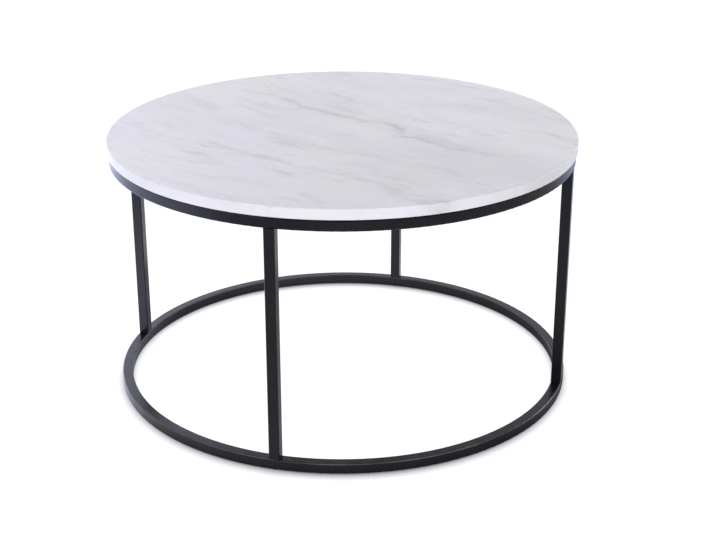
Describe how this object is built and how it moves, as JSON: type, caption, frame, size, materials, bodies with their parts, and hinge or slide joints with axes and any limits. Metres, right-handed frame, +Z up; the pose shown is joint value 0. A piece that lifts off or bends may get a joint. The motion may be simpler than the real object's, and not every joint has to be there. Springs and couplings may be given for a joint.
{
  "type": "round cocktail table",
  "caption": "Round cocktail table: a veined white marble disc laid on a black square-tube frame of an upper and a lower ring joined by upright legs.",
  "frame": {"origin": "on the floor, on the table's vertical axis", "axes": "+Z up along the table's axis, -Y to the front leg, +X to the right leg"},
  "size_m": [0.8999, 0.9, 0.5],
  "materials": {
    "marble": "honed white marble, cloudy grey with thin grey veins",
    "frame_coat": "satin black powder coat",
    "fastener_steel": "bright zinc plated steel",
    "silicone": "clear silicone",
    "glide_plastic": "black nylon"
  },
  "bodies": {
    "frame": {"top_ring": "frame_coat", "bottom_ring": "frame_coat", "leg_front": "frame_coat", "leg_right": "frame_coat", "leg_back": "frame_coat", "leg_left": "frame_coat", "cross_tube_long": "frame_coat", "cross_tube_half_front": "frame_coat", "cross_tube_half_back": "frame_coat", "upper_plug_front": "fastener_steel", "lower_plug_front": "fastener_steel", "upper_plug_right": "fastener_steel", "lower_plug_right": "fastener_steel", "upper_plug_back": "fastener_steel", "lower_plug_back": "fastener_steel", "upper_plug_left": "fastener_steel", "lower_plug_left": "fastener_steel", "top_ring_screws": "fastener_steel", "top_ring_washers": "fastener_steel", "bottom_ring_screws": "fastener_steel", "bottom_ring_washers": "fastener_steel", "ring_bumper_1": "silicone", "ring_bumper_2": "silicone", "ring_bumper_3": "silicone", "ring_bumper_4": "silicone", "ring_bumper_5": "silicone", "ring_bumper_6": "silicone", "ring_bumper_7": "silicone", "ring_bumper_8": "silicone", "cross_bumper_front": "silicone", "cross_bumper_right": "silicone", "cross_bumper_back": "silicone", "cross_bumper_left": "silicone", "glide_front": "glide_plastic", "glide_right": "glide_plastic", "glide_back": "glide_plastic", "glide_left": "glide_plastic"},
    "top": {"marble_top": "marble"}
  },
  "joints": [
    {"name": "top_lift", "type": "slide", "parent": "frame", "child": "top", "axis": [0, 0, 1], "range_m": [0, 0.15]}
  ]
}
